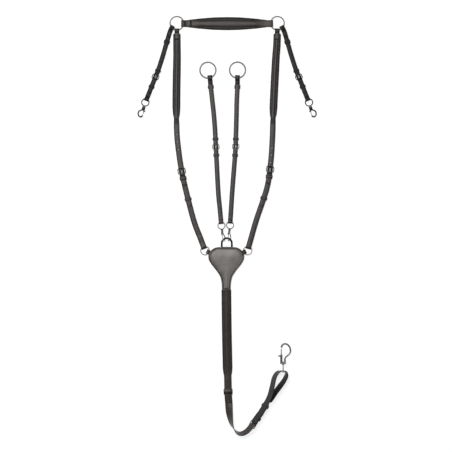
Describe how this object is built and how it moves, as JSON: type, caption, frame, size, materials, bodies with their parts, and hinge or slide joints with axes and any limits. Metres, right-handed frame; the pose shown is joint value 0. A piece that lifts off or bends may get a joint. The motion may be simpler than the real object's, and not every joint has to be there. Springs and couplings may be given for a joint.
{
  "type": "hunting breastplate",
  "caption": "Padded leather hunting breastplate: neck loop over a shaped chest plate, two fork straps with rings, two saddle straps and a girth strap, all on bolt snaps.",
  "frame": {"origin": "middle of the upper part of the chest plate's flat back", "axes": "+Y up the strap run from the girth to the withers, +Z out of the chest plate, away from the horse, +X to the right as seen from the front"},
  "size_m": [0.5895, 1.3866, 0.0357],
  "materials": {
    "black_leather": "satin",
    "silver_steel": "polished",
    "gunmetal": "dark plated, satin"
  },
  "bodies": {
    "neck_and_girth": {"Chest_Lining": "black_leather", "Chest_Cover": "black_leather", "Chest_Loop": "gunmetal", "Girth_Strap": "black_leather", "Girth_Pad": "black_leather", "Girth_Loop_Strap": "black_leather", "Left_Shoulder_Upper_Strap": "black_leather", "Left_Shoulder_Pad": "black_leather", "Left_Shoulder_Lower_Strap": "black_leather", "Right_Shoulder_Upper_Strap": "black_leather", "Right_Shoulder_Pad": "black_leather", "Right_Shoulder_Lower_Strap": "black_leather"},
    "withers": {"Withers_Cover": "black_leather", "Withers_Lining": "black_leather"},
    "left_upper_ring": {"Left_Upper_Ring": "silver_steel"},
    "left_chest_ring": {"Left_Chest_Ring": "silver_steel"},
    "left_shoulder_buckle": {"Left_Shoulder_Buckle": "gunmetal"},
    "left_shoulder_tongue": {"Left_Shoulder_Buckle_Tongue": "gunmetal"},
    "left_shoulder_keeper": {"Left_Shoulder_Runner_Keeper": "black_leather"},
    "left_saddle_strap": {"Left_Saddle_Upper_Strap": "black_leather", "Left_Saddle_Lower_Strap": "black_leather"},
    "left_saddle_buckle": {"Left_Saddle_Buckle": "gunmetal"},
    "left_saddle_tongue": {"Left_Saddle_Buckle_Tongue": "gunmetal"},
    "left_saddle_eye": {"Left_Saddle_Snap_Eye": "gunmetal"},
    "left_saddle_hook": {"Left_Saddle_Snap_Hook": "gunmetal"},
    "left_saddle_bolt": {"Left_Saddle_Snap_Bolt": "gunmetal"},
    "left_fork_hook": {"Left_Fork_Snap_Hook": "silver_steel"},
    "left_fork_eye": {"Left_Fork_Snap_Eye": "silver_steel"},
    "left_fork_strap": {"Left_Fork_Upper_Strap": "black_leather", "Left_Fork_Lower_Strap": "black_leather"},
    "left_fork_bolt": {"Left_Fork_Snap_Bolt": "silver_steel"},
    "left_fork_buckle": {"Left_Fork_Buckle": "silver_steel"},
    "left_fork_tongue": {"Left_Fork_Buckle_Tongue": "silver_steel"},
    "left_fork_ring": {"Left_Fork_Ring": "silver_steel"},
    "right_upper_ring": {"Right_Upper_Ring": "silver_steel"},
    "right_chest_ring": {"Right_Chest_Ring": "silver_steel"},
    "right_shoulder_buckle": {"Right_Shoulder_Buckle": "gunmetal"},
    "right_shoulder_tongue": {"Right_Shoulder_Buckle_Tongue": "gunmetal"},
    "right_shoulder_keeper": {"Right_Shoulder_Runner_Keeper": "black_leather"},
    "right_saddle_strap": {"Right_Saddle_Upper_Strap": "black_leather", "Right_Saddle_Lower_Strap": "black_leather"},
    "right_saddle_buckle": {"Right_Saddle_Buckle": "gunmetal"},
    "right_saddle_tongue": {"Right_Saddle_Buckle_Tongue": "gunmetal"},
    "right_saddle_eye": {"Right_Saddle_Snap_Eye": "gunmetal"},
    "right_saddle_hook": {"Right_Saddle_Snap_Hook": "gunmetal"},
    "right_saddle_bolt": {"Right_Saddle_Snap_Bolt": "gunmetal"},
    "right_fork_hook": {"Right_Fork_Snap_Hook": "silver_steel"},
    "right_fork_eye": {"Right_Fork_Snap_Eye": "silver_steel"},
    "right_fork_strap": {"Right_Fork_Upper_Strap": "black_leather", "Right_Fork_Lower_Strap": "black_leather"},
    "right_fork_bolt": {"Right_Fork_Snap_Bolt": "silver_steel"},
    "right_fork_buckle": {"Right_Fork_Buckle": "silver_steel"},
    "right_fork_tongue": {"Right_Fork_Buckle_Tongue": "silver_steel"},
    "right_fork_ring": {"Right_Fork_Ring": "silver_steel"},
    "girth_buckle": {"Girth_Buckle": "gunmetal"},
    "girth_tongue": {"Girth_Buckle_Tongue": "gunmetal"},
    "girth_keeper": {"Girth_Runner_Keeper": "black_leather"},
    "girth_eye": {"Girth_Snap_Eye": "silver_steel"},
    "girth_hook": {"Girth_Snap_Hook": "silver_steel"},
    "girth_bolt": {"Girth_Snap_Bolt": "silver_steel"}
  },
  "joints": [
    {"name": "withers_fold", "type": "hinge", "parent": "neck_and_girth", "child": "withers", "pos_m": [0.00245, 0.76604, 0.0064], "axis": [1, 0, 0], "range_deg": [-110, 110]},
    {"name": "left_upper_ring_spin", "type": "hinge", "parent": "withers", "child": "left_upper_ring", "pos_m": [-0.1634, 0.7877, 0.0064], "axis": [0, 0, 1], "continuous": true},
    {"name": "left_chest_ring_spin", "type": "hinge", "parent": "neck_and_girth", "child": "left_chest_ring", "pos_m": [-0.0705, 0.0377, 0.0045], "axis": [0, 0, 1], "continuous": true},
    {"name": "left_shoulder_buckle_tilt", "type": "hinge", "parent": "neck_and_girth", "child": "left_shoulder_buckle", "pos_m": [-0.14612, 0.292, 0.004], "axis": [0.9825, 0.1864, 0], "range_deg": [0, 5]},
    {"name": "left_shoulder_tongue_tilt", "type": "hinge", "parent": "left_shoulder_buckle", "child": "left_shoulder_tongue", "pos_m": [-0.14612, 0.292, 0.004], "axis": [0.9825, 0.1864, 0], "range_deg": [0, 4]},
    {"name": "left_shoulder_keeper_slide", "type": "slide", "parent": "neck_and_girth", "child": "left_shoulder_keeper", "axis": [0.2411, -0.9705, 0], "range_m": [-0.008, 0.008]},
    {"name": "left_saddle_strap_swing", "type": "hinge", "parent": "withers", "child": "left_saddle_strap", "pos_m": [-0.1634, 0.7877, 0.0064], "axis": [0, 0, -1], "range_deg": [0, 80]},
    {"name": "left_saddle_buckle_tilt", "type": "hinge", "parent": "left_saddle_strap", "child": "left_saddle_buckle", "pos_m": [-0.23125, 0.61732, 0.004], "axis": [-0.9229, 0.3849, 0], "range_deg": [0, 5]},
    {"name": "left_saddle_tongue_tilt", "type": "hinge", "parent": "left_saddle_buckle", "child": "left_saddle_tongue", "pos_m": [-0.23125, 0.61732, 0.004], "axis": [-0.9229, 0.3849, 0], "range_deg": [0, 4]},
    {"name": "left_saddle_eye_swing", "type": "hinge", "parent": "left_saddle_strap", "child": "left_saddle_eye", "pos_m": [-0.26746, 0.52686, 0.0064], "axis": [0, 0, 1], "range_deg": [-40, 40]},
    {"name": "left_saddle_hook_swivel", "type": "hinge", "parent": "left_saddle_eye", "child": "left_saddle_hook", "pos_m": [-0.26838, 0.52365, 0.0064], "axis": [-0.2773, -0.9608, 0], "continuous": true},
    {"name": "left_saddle_bolt_slide", "type": "slide", "parent": "left_saddle_hook", "child": "left_saddle_bolt", "axis": [0.2773, 0.9608, 0], "range_m": [0, 0.0065], "stiffness_N_per_m": 400},
    {"name": "left_fork_hook_swing", "type": "hinge", "parent": "neck_and_girth", "child": "left_fork_hook", "pos_m": [-0.00774, 0.07592, 0.01154], "axis": [0.9736, 0.2284, 0], "range_deg": [-20, 60]},
    {"name": "left_fork_eye_swivel", "type": "hinge", "parent": "left_fork_hook", "child": "left_fork_eye", "pos_m": [-0.0164, 0.12007, 0.00867], "axis": [0.123, -0.9739, 0.1908], "continuous": true},
    {"name": "left_fork_strap_swing", "type": "hinge", "parent": "left_fork_eye", "child": "left_fork_strap", "pos_m": [-0.0164, 0.12007, 0.00867], "axis": [0.0239, -0.1893, -0.9816], "range_deg": [-7, 3]},
    {"name": "left_fork_bolt_slide", "type": "slide", "parent": "left_fork_hook", "child": "left_fork_bolt", "axis": [-0.123, 0.9739, -0.1908], "range_m": [0, 0.0069], "stiffness_N_per_m": 400},
    {"name": "left_fork_buckle_tilt", "type": "hinge", "parent": "left_fork_strap", "child": "left_fork_buckle", "pos_m": [-0.0352, 0.387, 0.004], "axis": [-0.9988, -0.0494, 0], "range_deg": [0, 5]},
    {"name": "left_fork_tongue_tilt", "type": "hinge", "parent": "left_fork_buckle", "child": "left_fork_tongue", "pos_m": [-0.0352, 0.387, 0.004], "axis": [-0.9988, -0.0494, 0], "range_deg": [0, 4]},
    {"name": "left_fork_ring_spin", "type": "hinge", "parent": "left_fork_strap", "child": "left_fork_ring", "pos_m": [-0.0611, 0.6329, 0.0064], "axis": [0, 0, 1], "continuous": true},
    {"name": "right_upper_ring_spin", "type": "hinge", "parent": "withers", "child": "right_upper_ring", "pos_m": [0.1683, 0.7877, 0.0064], "axis": [0, 0, 1], "continuous": true},
    {"name": "right_chest_ring_spin", "type": "hinge", "parent": "neck_and_girth", "child": "right_chest_ring", "pos_m": [0.0701, 0.0377, 0.0045], "axis": [0, 0, 1], "continuous": true},
    {"name": "right_shoulder_buckle_tilt", "type": "hinge", "parent": "neck_and_girth", "child": "right_shoulder_buckle", "pos_m": [0.14315, 0.29794, 0.004], "axis": [0.9938, -0.1112, 0], "range_deg": [0, 5]},
    {"name": "right_shoulder_tongue_tilt", "type": "hinge", "parent": "right_shoulder_buckle", "child": "right_shoulder_tongue", "pos_m": [0.14315, 0.29794, 0.004], "axis": [0.9938, -0.1112, 0], "range_deg": [0, 4]},
    {"name": "right_shoulder_keeper_slide", "type": "slide", "parent": "neck_and_girth", "child": "right_shoulder_keeper", "axis": [-0.3147, -0.9492, 0], "range_m": [-0.008, 0.008]},
    {"name": "right_saddle_strap_swing", "type": "hinge", "parent": "withers", "child": "right_saddle_strap", "pos_m": [0.1683, 0.7877, 0.0064], "axis": [0, 0, 1], "range_deg": [0, 80]},
    {"name": "right_saddle_buckle_tilt", "type": "hinge", "parent": "right_saddle_strap", "child": "right_saddle_buckle", "pos_m": [0.23615, 0.61732, 0.004], "axis": [-0.9229, -0.3849, 0], "range_deg": [0, 5]},
    {"name": "right_saddle_tongue_tilt", "type": "hinge", "parent": "right_saddle_buckle", "child": "right_saddle_tongue", "pos_m": [0.23615, 0.61732, 0.004], "axis": [-0.9229, -0.3849, 0], "range_deg": [0, 4]},
    {"name": "right_saddle_eye_swing", "type": "hinge", "parent": "right_saddle_strap", "child": "right_saddle_eye", "pos_m": [0.27236, 0.52686, 0.0064], "axis": [0, 0, 1], "range_deg": [-40, 40]},
    {"name": "right_saddle_hook_swivel", "type": "hinge", "parent": "right_saddle_eye", "child": "right_saddle_hook", "pos_m": [0.27329, 0.52365, 0.0064], "axis": [0.2773, -0.9608, 0], "continuous": true},
    {"name": "right_saddle_bolt_slide", "type": "slide", "parent": "right_saddle_hook", "child": "right_saddle_bolt", "axis": [-0.2773, 0.9608, 0], "range_m": [0, 0.0065], "stiffness_N_per_m": 400},
    {"name": "right_fork_hook_swing", "type": "hinge", "parent": "neck_and_girth", "child": "right_fork_hook", "pos_m": [0.00831, 0.07705, 0.01184], "axis": [0.9848, -0.1736, 0], "range_deg": [-20, 60]},
    {"name": "right_fork_eye_swivel", "type": "hinge", "parent": "right_fork_hook", "child": "right_fork_eye", "pos_m": [0.01206, 0.12157, 0.00553], "axis": [-0.1094, -0.9755, 0.1908], "continuous": true},
    {"name": "right_fork_strap_swing", "type": "hinge", "parent": "right_fork_eye", "child": "right_fork_strap", "pos_m": [0.01206, 0.12157, 0.00553], "axis": [-0.0213, -0.1896, -0.9816], "range_deg": [-3, 7]},
    {"name": "right_fork_bolt_slide", "type": "slide", "parent": "right_fork_hook", "child": "right_fork_bolt", "axis": [0.1094, 0.9755, -0.1908], "range_m": [0, 0.0069], "stiffness_N_per_m": 400},
    {"name": "right_fork_buckle_tilt", "type": "hinge", "parent": "right_fork_strap", "child": "right_fork_buckle", "pos_m": [0.03077, 0.38787, 0.004], "axis": [-0.9997, 0.0259, 0], "range_deg": [0, 5]},
    {"name": "right_fork_tongue_tilt", "type": "hinge", "parent": "right_fork_buckle", "child": "right_fork_tongue", "pos_m": [0.03077, 0.38787, 0.004], "axis": [-0.9997, 0.0259, 0], "range_deg": [0, 4]},
    {"name": "right_fork_ring_spin", "type": "hinge", "parent": "right_fork_strap", "child": "right_fork_ring", "pos_m": [0.0366, 0.6333, 0.0064], "axis": [0, 0, 1], "continuous": true},
    {"name": "girth_buckle_tilt", "type": "hinge", "parent": "neck_and_girth", "child": "girth_buckle", "pos_m": [0.09106, -0.52852, 0.01829], "axis": [0.5715, -0.3722, 0.7314], "range_deg": [0, 5]},
    {"name": "girth_tongue_tilt", "type": "hinge", "parent": "girth_buckle", "child": "girth_tongue", "pos_m": [0.09106, -0.52852, 0.01829], "axis": [0.5715, -0.3722, 0.7314], "range_deg": [0, 4]},
    {"name": "girth_keeper_slide", "type": "slide", "parent": "neck_and_girth", "child": "girth_keeper", "axis": [0.5255, 0.8508, 0], "range_m": [-0.008, 0.008]},
    {"name": "girth_eye_swing", "type": "hinge", "parent": "neck_and_girth", "child": "girth_eye", "pos_m": [0.1871, -0.364, 0.0185], "axis": [0, 0, 1], "range_deg": [-35, 35]},
    {"name": "girth_hook_swivel", "type": "hinge", "parent": "girth_eye", "child": "girth_hook", "pos_m": [0.1871, -0.35816, 0.0185], "axis": [0, 1, 0], "continuous": true},
    {"name": "girth_bolt_slide", "type": "slide", "parent": "girth_hook", "child": "girth_bolt", "axis": [0, -1, 0], "range_m": [0, 0.0121], "stiffness_N_per_m": 400}
  ]
}
